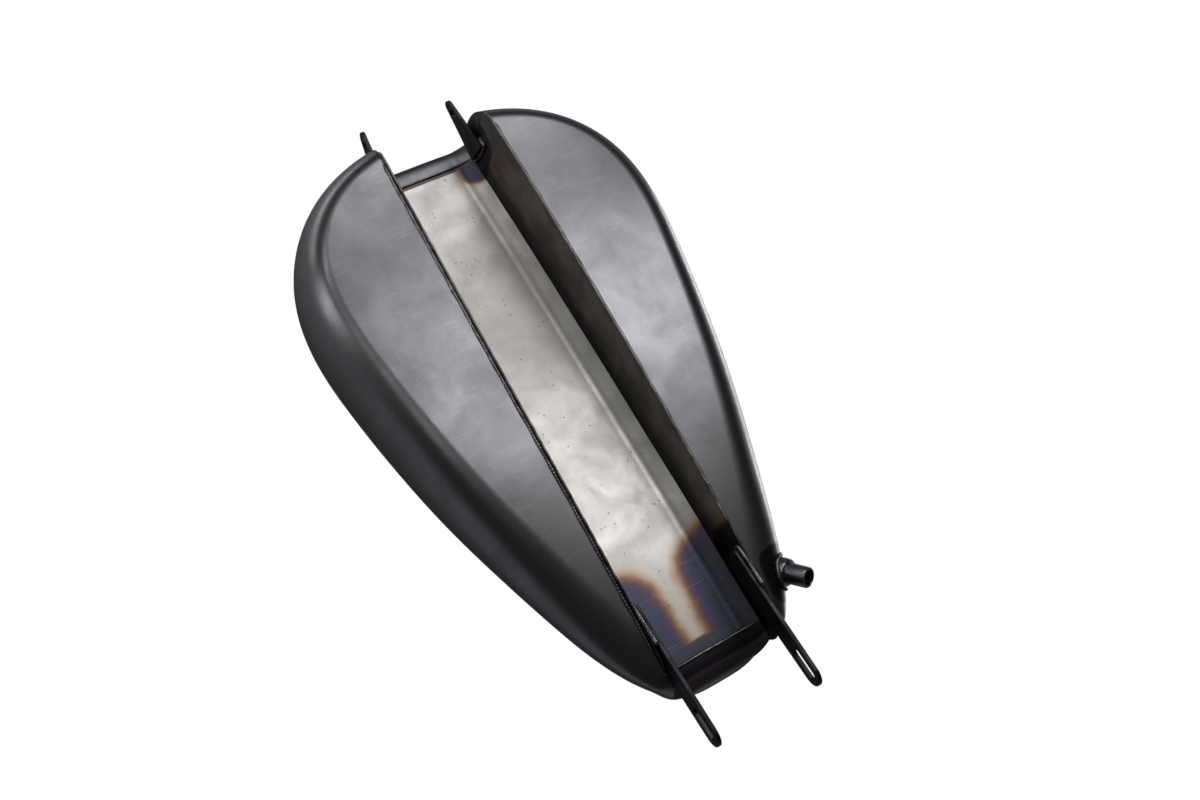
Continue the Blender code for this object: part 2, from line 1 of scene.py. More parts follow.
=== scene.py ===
"""Looks of the small teardrop fuel tank: fine sheet metal, weld beads, tabs, filler cap and fuel outlet."""

import math

import bmesh
import bpy
import numpy as np
from mathutils import Matrix, Vector


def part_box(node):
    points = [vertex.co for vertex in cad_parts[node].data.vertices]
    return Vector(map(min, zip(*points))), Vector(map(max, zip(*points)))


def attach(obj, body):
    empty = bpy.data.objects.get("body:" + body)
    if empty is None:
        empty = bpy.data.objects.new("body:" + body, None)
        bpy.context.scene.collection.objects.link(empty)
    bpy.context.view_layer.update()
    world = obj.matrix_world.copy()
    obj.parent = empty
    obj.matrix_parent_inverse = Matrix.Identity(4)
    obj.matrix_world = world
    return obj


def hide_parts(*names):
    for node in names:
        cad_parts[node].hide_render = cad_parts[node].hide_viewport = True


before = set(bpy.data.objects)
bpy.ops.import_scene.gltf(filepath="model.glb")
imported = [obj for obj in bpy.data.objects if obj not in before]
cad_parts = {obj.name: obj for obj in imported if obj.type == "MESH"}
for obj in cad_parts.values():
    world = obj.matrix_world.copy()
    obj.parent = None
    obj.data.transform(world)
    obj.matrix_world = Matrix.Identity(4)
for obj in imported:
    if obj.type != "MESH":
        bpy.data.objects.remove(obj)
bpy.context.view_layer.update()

# Body shape, as in the CAD: shares run from the nose to the tail
LENGTH = 0.461
HALF_WIDTHS = ((0.0, 0.1556), (0.15, 0.1504), (0.30, 0.1416), (0.45, 0.1311), (0.60, 0.1164), (0.75, 0.0958),
               (0.90, 0.0717), (1.0, 0.0552))
FRONT_SPAN, FRONT_SQUARENESS = 0.360, 2.39
REAR_SPAN, REAR_SQUARENESS = 0.217, 3.50
WIDEST_HEIGHT, WIDEST_HEIGHT_BOW = (0.0596, 0.0177), 0.0178
TAIL_LIFT, TAIL_LIFT_START, TAIL_LIFT_SPAN = 0.0141, 0.955, 0.030
ROLL_WIDTH = (0.0245, 0.0307)
CROWN_HEIGHT, RIDGE_SETBACK, FULLNESS = (0.173, 0.1045), (0.101, 0.0723), 1.92
BELLY_RISE, BELLY_FRONT_END, BELLY_REAR_START = (0.0042, 0.0098), 0.35, 0.488
SHEET, LIP, GAP = 0.0013, 0.0045, 0.0003

# Tunnel
TUNNEL_HALF_WIDTH, TUNNEL_BOW = 0.0418, 0.0020
ROOF_FRONT, ROOF_REAR = -0.2125, 0.2043
CREASE_HEIGHT = (0.0757, 0.0415)
SHOULDER_WIDTH, SHOULDER_RISE = 0.016, 0.006
FRONT_LIP, REAR_LIP = (0.0150, 0.0045), (0.0195, 0.0055)

# Tabs, filler and outlet
TAB_THICKNESS = 0.003
REAR_TAB = {"start": (0.159, 0.0195), "tip": (0.259, 0.0000), "heights": (0.0215, 0.0180),
            "hole": (0.0240, 0.0085, 0.0045), "weld": 0.030, "lean": 0.0}
FRONT_TAB = {"start": (-0.2040, 0.0560), "tip": (-0.2490, 0.0462), "heights": (0.0300, 0.0110),
             "hole": (0.0066, 0.0066, 0.0080), "weld": 0.007, "lean": 0.09}
FILLER_Y, NECK_RADIUS, NECK_BORE, NECK_LENGTH = -0.095, 0.0290, 0.0255, 0.0210
OUTLET_POINT, OUTLET_DIRECTION = (0.0684, 0.1838, 0.0248), (0.38, 0.60, -0.70)
PIPE_RADIUS, PIPE_BORE, PIPE_OUT, PIPE_IN = 0.0073, 0.0058, 0.0208, 0.0110
BUNG_RADIUS, BUNG_OUT, BUNG_IN = 0.0098, 0.0055, 0.0075

# The body formulas count from the middle of the shells and the walls' lower edge
SHIFT = Vector((0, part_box("tunnel_ceiling")[0][1] - (ROOF_FRONT + GAP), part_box("tunnel_wall_left")[0][2]))


# ---------------------------------------------------------------- shape of the body

def blend(pair, share):
    return pair[0] + (pair[1] - pair[0]) * share


def flank(share):
    knots = np.array([k for k, _ in HALF_WIDTHS])
    values = np.array([v for _, v in HALF_WIDTHS])
    slopes = np.gradient(values, knots)
    i = np.clip(np.searchsorted(knots, share, side="right") - 1, 0, len(knots) - 2)
    step = knots[i + 1] - knots[i]
    u = (share - knots[i]) / step
    return (values[i] * (1 + 2 * u) * (1 - u) ** 2 + slopes[i] * step * u * (1 - u) ** 2
            + values[i + 1] * u * u * (3 - 2 * u) + slopes[i + 1] * step * u * u * (u - 1))


def end_rounding(share, span, squareness):
    return (1 - np.clip(1 - share / span, 0, 1) ** squareness) ** (1 / squareness)


def outline(count):
    share = 0.5 - 0.5 * np.cos(np.pi * (0.5 - 0.5 * np.cos(np.pi * np.linspace(0, 1, 1200))))
    x = (flank(share) * end_rounding(share, FRONT_SPAN, FRONT_SQUARENESS)
         * end_rounding(1 - share, REAR_SPAN, REAR_SQUARENESS))
    y = (share - 0.5) * LENGTH
    along = np.concatenate(([0], np.cumsum(np.hypot(np.diff(x), np.diff(y)))))
    even = np.linspace(0, along[-1], count)
    x, y = np.interp(even, along, x), np.interp(even, along, y)
    dx, dy = np.gradient(x), np.gradient(y)
    size = np.hypot(dx, dy)
    return x, y, dy / size, -dx / size


def belly(y):
    share = y / LENGTH + 0.5
    front = np.clip((BELLY_FRONT_END - share) / BELLY_FRONT_END, 0, 1) ** 2
    rear = np.clip((share - BELLY_REAR_START) / (1 - BELLY_REAR_START), 0, 1) ** 2
    return LIP + BELLY_RISE[0] * front + BELLY_RISE[1] * rear


def widest_height(share):
    lift = np.clip((share - TAIL_LIFT_START) / TAIL_LIFT_SPAN, 0, 1)
    return (blend(WIDEST_HEIGHT, share) + WIDEST_HEIGHT_BOW * 4 * share * (1 - share)
            + TAIL_LIFT * lift ** 2 * (3 - 2 * lift))


def body_rows(inset, around, roll_steps, crown_steps):
    """Rows of points of one half of the skin, from the belly's centre line to the crown's."""
    x, y, nx, ny = outline(around)
    share = y / LENGTH + 0.5
    widest = widest_height(share)
    roll = blend(ROLL_WIDTH, share) - inset
    x, y = np.maximum(x - nx * inset, 0), y - ny * inset
    rows = []
    for turn in np.linspace(math.pi / 2, 0, roll_steps + 1):
        inward = roll * (1 - math.cos(turn))
        yy = y - ny * inward
        low = belly(yy) + inset
        rows.append((np.maximum(x - nx * inward, 0), yy, low + (widest - low) * (1 - math.sin(turn))))
    rows.insert(0, (np.zeros_like(x), rows[0][1], rows[0][2]))
    ridge_front = -LENGTH / 2 + RIDGE_SETBACK[0]
    ridge_rear = LENGTH / 2 - RIDGE_SETBACK[1]
    ridge_share = np.clip((y - ridge_front) / (ridge_rear - ridge_front), 0, 1)
    ridge_y = ridge_front + (ridge_rear - ridge_front) * ridge_share
    crown = blend(CROWN_HEIGHT, ridge_share ** 2 * (3 - 2 * ridge_share)) - inset
    power = 2 / FULLNESS
    for turn in np.linspace(0, math.pi / 2, crown_steps + 1)[1:]:
        inward, up = 1 - math.cos(turn) ** power, math.sin(turn) ** power
        rows.append((x * (1 - inward), y + (ridge_y - y) * inward, widest + (crown - widest) * up))
    return [np.stack(row, axis=1) for row in rows]


def centre_line(crown_steps=24):
    """The skin in the centre plane, from the nose over the crown to the tail, as (y, z)."""
    rows = body_rows(0, 160, 5, crown_steps)[6:]
    line = [(row[0][1], row[0][2]) for row in rows]
    line += [(y, z) for _, y, z in rows[-1]]
    line += [(row[-1][1], row[-1][2]) for row in rows[::-1]]
    return [p for i, p in enumerate(line) if i == 0 or math.dist(p, line[i - 1]) > 1e-4]


def crown_height(y):
    return float(np.interp(y, *zip(*[p for p in centre_line() if abs(p[0]) < LENGTH / 2 - 0.01])))


def tunnel_half_width(y):
    share = y / LENGTH + 0.5
    return TUNNEL_HALF_WIDTH + TUNNEL_BOW * 4 * share * (1 - share)


def crease_height(y):
    return blend(CREASE_HEIGHT, (y - ROOF_FRONT) / (ROOF_REAR - ROOF_FRONT))


def shoulder(half_width, height, steps=8):
    """Half a roof section from the crease up to the flat, as (x, z)."""
    return [(half_width - SHOULDER_WIDTH * k / steps,
             height + SHOULDER_RISE * math.sin(math.pi / 2 * k / steps)) for k in range(steps + 1)]


def roof_ring(y, widen, height):
    half = shoulder(tunnel_half_width(y) + widen, height)
    return [(x, y, z) for x, z in half] + [(-x, y, z) for x, z in half[::-1]]


# ---------------------------------------------------------------- making meshes

def finish_mesh(bm, name, smooth_angle=40, clean=True):
    """Turns a bmesh in body coordinates into a placed, smoothly shaded object."""
    if clean:
        bmesh.ops.remove_doubles(bm, verts=bm.verts, dist=2e-6)
        bmesh.ops.recalc_face_normals(bm, faces=bm.faces)
    bmesh.ops.translate(bm, verts=bm.verts, vec=SHIFT)
    mesh = bpy.data.meshes.new(name)
    bm.to_mesh(mesh)
    bm.free()
    made = bpy.data.objects.new(name, mesh)
    bpy.context.scene.collection.objects.link(made)
    mesh.shade_smooth()
    mesh.set_sharp_from_angle(angle=math.radians(smooth_angle))
    return made


def loft(rings, name, smooth_angle=40, wrap=False):
    """Joins rings of points, one after another, into a closed skin."""
    bm = bmesh.new()
    rows = [[bm.verts.new(p) for p in ring] for ring in rings]
    pairs = list(zip(rows, rows[1:])) + ([(rows[-1], rows[0])] if wrap else [])
    for a, b in pairs:
        for i in range(len(a)):
            j = (i + 1) % len(a)
            bm.faces.new((a[i], a[j], b[j], b[i]))
    if not wrap:
        bm.faces.new(rows[0][::-1])
        bm.faces.new(rows[-1])
    return finish_mesh(bm, name, smooth_angle)


def lathe(profile, name, sides=96, origin=(0, 0, 0), axis=(0, 0, 1), smooth_angle=30, flute=None):
    """Turns a closed (radius, distance) outline about an axis; flute may change the radius at an angle."""
    to_place = Matrix.Translation(origin) @ Vector(axis).to_track_quat("Z", "Y").to_matrix().to_4x4()
    bm = bmesh.new()
    rows = []
    for radius, distance in profile:
        if radius < 1e-6:
            rows.append([bm.verts.new(to_place @ Vector((0, 0, distance)))])
            continue
        row = []
        for k in range(sides):
            angle = 2 * math.pi * k / sides
            r = flute(radius, distance, angle) if flute else radius
            row.append(bm.verts.new(to_place @ Vector((r * math.cos(angle), r * math.sin(angle), distance))))
        rows.append(row)
    for a, b in zip(rows, rows[1:] + rows[:1]):
        for i in range(sides):
            j = (i + 1) % sides
            corners = list(dict.fromkeys([a[i % len(a)], a[j % len(a)], b[j % len(b)], b[i % len(b)]]))
            if len(corners) > 2:
                bm.faces.new(corners)
    return finish_mesh(bm, name, smooth_angle)


def resample(path, step, closed=False):
    """Points every step along a smooth line through path."""
    points = [Vector(p) for p in path]
    if closed:
        points.append(points[0])
    along = np.concatenate(([0], np.cumsum([(b - a).length for a, b in zip(points, points[1:])])))
    count = max(4, int(along[-1] / step))
    at = np.linspace(0, along[-1], count, endpoint=not closed)
    return [Vector([np.interp(s, along, [p[k] for p in points]) for k in range(3)]) for s in at]


def weld_bead(path, radius, name, closed=False, ripple=0.0016, lumps=0.18, sides=10, up=(0.0, 0.3, 1.0)):
    """A weld bead: a tube whose surface is stacked in ripples and wanders a little."""
    points = resample(path, ripple / 4, closed)
    rings = []
    for i, point in enumerate(points):
        before = points[i - 1] if i or closed else point
        after = points[(i + 1) % len(points)] if i + 1 < len(points) or closed else point
        along = (after - before).normalized()
        across = along.cross(Vector(up)).normalized()
        rise = across.cross(along)
        s = i * ripple / 4
        stack = abs(math.sin(math.pi * s / ripple))
        wander = math.sin(s * 310) * 0.5 + math.sin(s * 127 + 1.3) * 0.5
        size = radius * (0.86 + 0.14 * stack + lumps * 0.5 * wander)
        if not closed:
            size *= min(1, 0.35 + min(i, len(points) - 1 - i) / 6)
        centre = point + across * radius * 0.12 * math.sin(s * 211 + 0.4)
        rings.append([centre + size * (math.cos(a) * across + math.sin(a) * rise)
                      for a in (2 * math.pi * k / sides for k in range(sides))])
    return loft(rings, name, 60, wrap=closed)


def cut(target, cutter):
    """Takes the cutter's volume off the target for good."""
    change = target.modifiers.new("cut", "BOOLEAN")
    change.object = cutter
    change.operation = "DIFFERENCE"
    change.solver = "EXACT"
    graph = bpy.context.evaluated_depsgraph_get()
    result = bpy.data.meshes.new_from_object(target.evaluated_get(graph))
    target.modifiers.clear()
    old = target.data
    target.data = result
    bpy.data.meshes.remove(old)
    bpy.data.objects.remove(cutter)


def rod(start, end, radius, sides=96):
    bm = bmesh.new()
    start, end = Vector(start), Vector(end)
    turn = (end - start).to_track_quat("Z", "Y").to_matrix().to_4x4()
    bmesh.ops.create_cone(bm, cap_ends=True, segments=sides, radius1=radius, radius2=radius,
                          depth=(end - start).length, matrix=Matrix.Translation((start + end) / 2) @ turn)
    return finish_mesh(bm, "rod")


# ---------------------------------------------------------------- pieces

def place(piece, body, slot, *nodes):
    """Lets the piece stand for its CAD nodes, ride on its body and take its finish."""
    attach(piece, body)
    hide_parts(*nodes)
    piece.data.materials.clear()
    piece.data.materials.append(FINISHES[slot])


def half_body(name, side, inset=0.0, around=190, roll_steps=12, crown_steps=26):
    """One closed half of the body, from the centre plane outwards."""
    rows = body_rows(inset, around, roll_steps, crown_steps)
    middle = inset
    rows = [np.stack([side * np.maximum(row[:, 0], middle), row[:, 1], row[:, 2]], axis=1) for row in rows]
    bm = bmesh.new()
    grid = [[bm.verts.new(p) for p in row] for row in rows]
    for a, b in zip(grid, grid[1:]):
        for i in range(len(a) - 1):
            bm.faces.new((a[i], a[i + 1], b[i + 1], b[i]))
    bmesh.ops.remove_doubles(bm, verts=bm.verts, dist=2e-6)
    loops = [e for e in bm.edges if e.is_boundary]
    bmesh.ops.contextual_create(bm, geom=loops)
    bmesh.ops.triangulate(bm, faces=[f for f in bm.faces if len(f.verts) > 4])
    return finish_mesh(bm, name)


def tunnel_profile(offset, stations=30, lip_steps=12, overrun=0.02):
    middle = [(y, crease_height(y)) for y in np.linspace(ROOF_FRONT, ROOF_REAR, stations)]
    front, rear = [], []
    for turn in np.linspace(0, math.pi / 2, lip_steps + 1)[1:]:
        front.append((ROOF_FRONT - (FRONT_LIP[0] - offset) * math.sin(turn),
                      middle[0][1] + FRONT_LIP[1] * (1 - math.cos(turn))))
        rear.append((ROOF_REAR + (REAR_LIP[0] - offset) * math.sin(turn),
                     middle[-1][1] + REAR_LIP[1] * (1 - math.cos(turn))))
    line = [(y, z + offset) for y, z in front[::-1] + middle + rear]
    reach = LENGTH / 2 + overrun
    return [(-reach, line[0][1])] + line + [(reach, line[-1][1])]


def tunnel_block(widen, raise_by):
    rings = []
    for y, z in tunnel_profile(raise_by):
        base = tunnel_half_width(y) + widen
        rings.append([(base, y, -0.05)] + roof_ring(y, widen, z) + [(-base, y, -0.05)])
    return loft(rings, "tunnel_block")


def sheet_zone():
    grow = SHEET + GAP
    rings = []
    for y in np.linspace(ROOF_FRONT, ROOF_REAR, 30):
        base = tunnel_half_width(y) + grow
        rings.append([(base, y, -0.05)] + roof_ring(y, grow, crease_height(y) + grow) + [(-base, y, -0.05)])
    return loft(rings, "sheet_zone")


def make_shell(name, side):
    """A pressed half shell: open at the tunnel, turned in at both ends of it, and hollow."""
    shell = half_body(name, side)
    cut(shell, tunnel_block(0, 0))
    hollow = half_body("hollow", side, SHEET, 90, 6, 12)
    cut(hollow, tunnel_block(SHEET, SHEET))
    cut(shell, hollow)
    cut(shell, sheet_zone())
    cut(shell, rod((0, FILLER_Y, 0.10), (0, FILLER_Y, 0.25), NECK_RADIUS + GAP))
    if side > 0:
        at, out = Vector(OUTLET_POINT), Vector(OUTLET_DIRECTION).normalized()
        cut(shell, rod(at - 0.025 * out, at + 0.02 * out, BUNG_RADIUS + GAP))
    shell.data.shade_smooth()
    shell.data.set_sharp_from_angle(angle=math.radians(30))
    return shell


def make_ceiling():
    """The roof sheet, gently uneven as rolled sheet is after welding."""
    rings = []
    for y in np.linspace(ROOF_FRONT + GAP, ROOF_REAR - GAP, 110):
        sag = 0.00035 * math.sin(y * 41) * math.sin(y * 13 + 0.6)
        low = roof_ring(y, -GAP, crease_height(y) + sag)
        high = roof_ring(y, -GAP, crease_height(y) + SHEET + sag)
        rings.append(low + high[::-1])
    return loft(rings, "tunnel_roof_sheet", 50)


def make_wall(name, side):
    """A tunnel side sheet: a hand-trimmed lower edge with a rounded rim and rounded corners."""
    front, rear = ROOF_FRONT + GAP, ROOF_REAR - GAP
    corner = 0.012
    stations = list(front + corner * (1 - np.cos(np.linspace(0, math.pi / 2, 14))))
    stations += list(np.linspace(front + corner + 0.002, rear - corner - 0.002, 190))
    stations += list(rear - corner * (1 - np.cos(np.linspace(math.pi / 2, 0, 14))))
    rings = []
    for y in stations:
        reach = min(y - front, rear - y, corner) / corner
        trim = 0.00022 * math.sin(y * 260 + side) + 0.00018 * math.sin(y * 611 + 2 * side) + 0.0004
        low = belly(y) - LIP + corner * (1 - math.sqrt(max(0, 1 - (1 - reach) ** 2))) + trim
        inner, outer = tunnel_half_width(y), tunnel_half_width(y) + SHEET
        top = crease_height(y) + SHEET
        ring = [(inner + SHEET / 2 * (1 - math.cos(a)), y, low + SHEET / 2 * (1 - math.sin(a)))
                for a in np.linspace(0, math.pi, 7)]
        wave = 0.00025 * math.sin(y * 52 + side)
        heights = np.linspace(low + 0.004, top - 0.003, 5)
        swell = [wave * math.sin(math.pi * (h - low) / (top - low)) for h in heights]
        ring += [(outer + s, y, h) for h, s in zip(heights, swell)] + [(outer, y, top), (inner, y, top)]
        ring += [(inner + s, y, h) for h, s in zip(heights[::-1], swell[::-1])]
        rings.append([(side * x, yy, z) for x, yy, z in ring])
    return loft(rings, name, 50)


def tab_outline(tab, tip_steps=24):
    (y0, z0), (y1, z1) = tab["start"], tab["tip"]
    radius = tab["heights"][1] / 2
    along = Vector((y1 - y0, z1 - z0)).normalized()
    up = Vector((-along.y, along.x))
    centre = Vector((y1, z1)) - radius * along
    points = [Vector((y0, z0)) - up * tab["heights"][0] / 2]
    for k in range(tip_steps + 1):
        angle = math.pi * (k / tip_steps - 0.5)
        points.append(centre + radius * (math.cos(angle) * along + math.sin(angle) * up))
    points.append(Vector((y0, z0)) + up * tab["heights"][0] / 2)
    return points, centre, along, up


def slot_cutter(centre, along, up, length, width, steps=20):
    rings = []
    for x in (-0.08, 0.08):
        ring = []
        for end in (1, -1):
            for k in range(steps + 1):
                angle = math.pi * (k / steps - 0.5)
                ring.append(centre + end * along * (length - width) / 2
                            + end * width / 2 * (math.cos(angle) * along + math.sin(angle) * up))
        tidy = [p for i, p in enumerate(ring) if (p - ring[i - 1]).length > 1e-6]
        rings.append([(x, p.x, p.y) for p in tidy])
    return loft(rings, "slot")


def make_tab(name, side, tab):
    """A stamped flat steel tab with rolled-over edges and its bolt slot or hole."""
    points, centre, along, up = tab_outline(tab)
    length, width, edge = tab["hole"]
    widest = min(tunnel_half_width(tab["start"][0]), tunnel_half_width(0.95 * tab["tip"][0]))
    outer = side * (widest - GAP)
    leans = [side * tab["lean"] * (p - points[0]).dot(along) for p in points]
    rings = [[(x - lean, p.x, p.y) for p, lean in zip(points, leans)]
             for x in (outer, outer - side * TAB_THICKNESS)]
    plate = loft(rings, name, 25)
    tip = centre + along * (tab["heights"][1] / 2 - edge - length / 2)
    cut(plate, slot_cutter(tip, along, up, length, width))
    soften = plate.modifiers.new("rolled edge", "BEVEL")
    soften.width, soften.segments = 0.0005, 3
    soften.limit_method, soften.angle_limit = "ANGLE", math.radians(40)
    plate.data.shade_smooth()
    plate.data.set_sharp_from_angle(angle=math.radians(35))
    return plate


def tab_weld_path(side, tab, radius):
    _, centre, along, up = tab_outline(tab)
    start = Vector(tab["start"])
    length = (centre - start).length
    offset, reach = radius + GAP, tab["weld"]
    path = []
    for distance, rise in ((reach, -1), (reach / 2, -1), (0, -1), (-0.7 * offset, -0.97), (-offset, -0.88),
                           (-offset, 0.88), (-0.7 * offset, 0.97), (0, 1), (reach / 2, 1), (reach, 1)):
        height = tab["heights"][0] + (tab["heights"][1] - tab["heights"][0]) * max(0, distance) / length
        point = start + distance * along + rise * (height / 2 + offset * 0.75) * up
        path.append((side * (tunnel_half_width(point.x) - 0.0006), point.x, point.y))
    return path


def seam_path(side):
    return [(side * (tunnel_half_width(y) + SHEET + 0.0010), y, belly(y) - 0.0006)
            for y in np.linspace(-0.198, 0.188, 60)]


def arch_path(y):
    reach = tunnel_half_width(y) - TAB_THICKNESS - 0.001
    ring = roof_ring(y, 0, crease_height(y) - 0.0004)
    zs = [z for _, _, z in ring][::-1]
    xs = [x for x, _, _ in ring][::-1]
    return [(x, y, float(np.interp(x, xs, zs))) for x in np.linspace(-reach, reach, 40)]


def make_crown_seam(name, first_y, last_y, lowest):
    """The dressed weld over the joint of the half shells: a low rounded strip, filed almost flat."""
    line = [p for p in centre_line() if first_y <= p[0] <= last_y and p[1] >= lowest]
    rings = []
    for i, (y, z) in enumerate(line):
        ahead, behind = line[min(i + 1, len(line) - 1)], line[max(i - 1, 0)]
        along = Vector((ahead[0] - behind[0], ahead[1] - behind[1])).normalized()
        normal = Vector((-along.y, along.x))
        half = 0.0025 * (1 + 0.10 * math.sin(i * 2.1) + 0.06 * math.sin(i * 5.3))
        arc = [(half * math.cos(a), 0.0006 * math.sin(a)) for a in np.linspace(0, math.pi, 9)]
        arc += [(-half, -0.0008), (half, -0.0008)]
        rings.append([(x, *(Vector((y, z)) + normal * h)) for x, h in arc])
    return loft(rings, name, 60)


def ring_path(shells, centre, axis, radius):
    """Where a round fitting leaves the skin, found by casting rays along the fitting's axis."""
    axis = Vector(axis).normalized()
    side = axis.orthogonal().normalized()
    other = axis.cross(side)
    path = []
    for k in range(72):
        angle = 2 * math.pi * (k + 0.5) / 72
        start = Vector(centre) + SHIFT + 0.05 * axis + radius * (math.cos(angle) * side + math.sin(angle) * other)
        hits = [shell.ray_cast(start, -axis) for shell in shells]
        point, normal = min(((h[1], h[2]) for h in hits if h[0]), key=lambda h: (h[0] - start).length)
        path.append(point - SHIFT + normal * 0.0004)
    return path


# ---------------------------------------------------------------- finishes

def new_group(name, inputs, outputs):
    """A shader node group with named sockets: each input is (name, kind, value)."""
    tree = bpy.data.node_groups.new(name, "ShaderNodeTree")
    for label, kind, value in inputs:
        socket = tree.interface.new_socket(label, in_out="INPUT", socket_type="NodeSocket" + kind)
        socket.default_value = value
    for label, kind in outputs:
        tree.interface.new_socket(label, in_out="OUTPUT", socket_type="NodeSocket" + kind)
    return tree, tree.nodes.new("NodeGroupInput"), tree.nodes.new("NodeGroupOutput")


def math_node(tree, operation, a, b=None, clamp=False):
    node = tree.nodes.new("ShaderNodeMath")
    node.operation = operation
    node.use_clamp = clamp
    for socket, value in zip(node.inputs, (a, b)):
        if isinstance(value, (int, float)):
            socket.default_value = value
        elif value is not None:
            tree.links.new(value, socket)
    return node.outputs[0]


def vector_node(tree, operation, a, b=None, out=0):
    node = tree.nodes.new("ShaderNodeVectorMath")
    node.operation = operation
    for socket, value in zip(node.inputs, (a, b)):
        if isinstance(value, (tuple, list)):
            socket.default_value = value
        elif value is not None:
            tree.links.new(value, socket)
    return node.outputs[out]


def noise(tree, position, scale, detail=4.0, roughness=0.55, distortion=0.0):
    node = tree.nodes.new("ShaderNodeTexNoise")
    node.inputs["Scale"].default_value = scale
    node.inputs["Detail"].default_value = detail
    node.inputs["Roughness"].default_value = roughness
    node.inputs["Distortion"].default_value = distortion
    tree.links.new(position, node.inputs["Vector"])
    return node.outputs[0]


def ramp(tree, value, *stops):
    """A colour ramp; each stop is (place, grey or colour)."""
    node = tree.nodes.new("ShaderNodeValToRGB")
    while len(node.color_ramp.elements) < len(stops):
        node.color_ramp.elements.new(0.5)
    for element, (place_at, colour) in zip(node.color_ramp.elements, stops):
        element.position = place_at
        element.color = (colour, colour, colour, 1) if isinstance(colour, (int, float)) else (*colour, 1)
    tree.links.new(value, node.inputs[0])
    return node.outputs[0]


def mix(tree, share, a, b, blend_type="MIX"):
    node = tree.nodes.new("ShaderNodeMix")
    node.data_type = "RGBA"
    node.blend_type = blend_type
    for socket, value in ((node.inputs[0], share), (node.inputs[6], a), (node.inputs[7], b)):
        if isinstance(value, (int, float)):
            socket.default_value = value
        elif isinstance(value, (tuple, list)):
            socket.default_value = (*value, 1)
        else:
            tree.links.new(value, socket)
    return node.outputs[2]


def build_mottle():
    """Bare steel: cloudy patches, faint rolling lines and fine grain."""
    tree, source, result = new_group(
        "mottled steel",
        [("Position", "Vector", (0, 0, 0)), ("Dark", "Color", (0.2, 0.2, 0.2, 1)),
         ("Light", "Color", (0.5, 0.5, 0.5, 1)), ("Patches", "Float", 18.0), ("Smooth", "Float", 0.30), ("Dull", "Float", 0.50)],
        [("Color", "Color"), ("Roughness", "Float"), ("Height", "Float")])
    scaled = tree.nodes.new("ShaderNodeVectorMath")
    scaled.operation = "SCALE"
    tree.links.new(source.outputs["Position"], scaled.inputs[0])
    tree.links.new(source.outputs["Patches"], scaled.inputs["Scale"])
    cloud = noise(tree, scaled.outputs[0], 1.0, 6.0, 0.6, 0.4)
    lines = noise(tree, vector_node(tree, "MULTIPLY", source.outputs["Position"], (420.0, 14.0, 420.0)), 1.0, 3.0)
    grain = noise(tree, source.outputs["Position"], 1400.0, 2.0)
    patch = ramp(tree, cloud, (0.34, 0.0), (0.66, 1.0))
    share = math_node(tree, "ADD", math_node(tree, "MULTIPLY", patch, 0.70),
                      math_node(tree, "ADD", math_node(tree, "MULTIPLY", lines, 0.26),
                                math_node(tree, "MULTIPLY", grain, 0.16)), clamp=True)
    tree.links.new(mix(tree, share, source.outputs["Dark"], source.outputs["Light"]), result.inputs["Color"])
    span = math_node(tree, "SUBTRACT", source.outputs["Dull"], source.outputs["Smooth"])
    rough = math_node(tree, "ADD", source.outputs["Smooth"],
                      math_node(tree, "MULTIPLY", span, math_node(tree, "SUBTRACT", 1.0, share)))
    tree.links.new(rough, result.inputs["Roughness"])
    tree.links.new(math_node(tree, "ADD", math_node(tree, "MULTIPLY", cloud, 0.6),
                             math_node(tree, "ADD", math_node(tree, "MULTIPLY", lines, 0.10),
                                       math_node(tree, "MULTIPLY", grain, 0.05))), result.inputs["Height"])
    return tree


def build_heat():
    """How far from a welded place, as a share of its heat's reach."""
    tree, source, result = new_group(
        "heat distance",
        [("Position", "Vector", (0, 0, 0)), ("Centre", "Vector", (0, 0, 0)), ("Half Size", "Vector", (0, 0, 0)),
         ("Reach", "Float", 0.03)],
        [("Share", "Float")])
    offset = vector_node(tree, "SUBTRACT", source.outputs["Position"], source.outputs["Centre"])
    outside = vector_node(tree, "SUBTRACT", vector_node(tree, "ABSOLUTE", offset), source.outputs["Half Size"])
    distance = vector_node(tree, "LENGTH", vector_node(tree, "MAXIMUM", outside, (0, 0, 0)), out=1)
    tree.links.new(math_node(tree, "DIVIDE", distance, source.outputs["Reach"]), result.inputs["Share"])
    return tree


def build_temper():
    """Temper colours by distance: oxide grey, blue, purple, brown and straw outwards."""
    tree, source, result = new_group(
        "temper colours", [("Position", "Vector", (0, 0, 0)), ("Share", "Float", 1.0)],
        [("Color", "Color"), ("Mask", "Float")])
    wander = math_node(tree, "SUBTRACT", noise(tree, source.outputs["Position"], 70.0, 5.0), 0.5)
    share = math_node(tree, "ADD", source.outputs["Share"], math_node(tree, "MULTIPLY", wander, 0.14), clamp=True)
    colour = ramp(tree, share, (0.0, (0.040, 0.041, 0.047)), (0.40, (0.055, 0.057, 0.068)),
                  (0.62, (0.045, 0.050, 0.078)), (0.72, (0.075, 0.050, 0.070)), (0.82, (0.200, 0.110, 0.055)),
                  (0.95, (0.420, 0.330, 0.220)))
    tree.links.new(colour, result.inputs["Color"])
    tree.links.new(ramp(tree, share, (0.78, 1.0), (1.0, 0.0)), result.inputs["Mask"])
    return tree


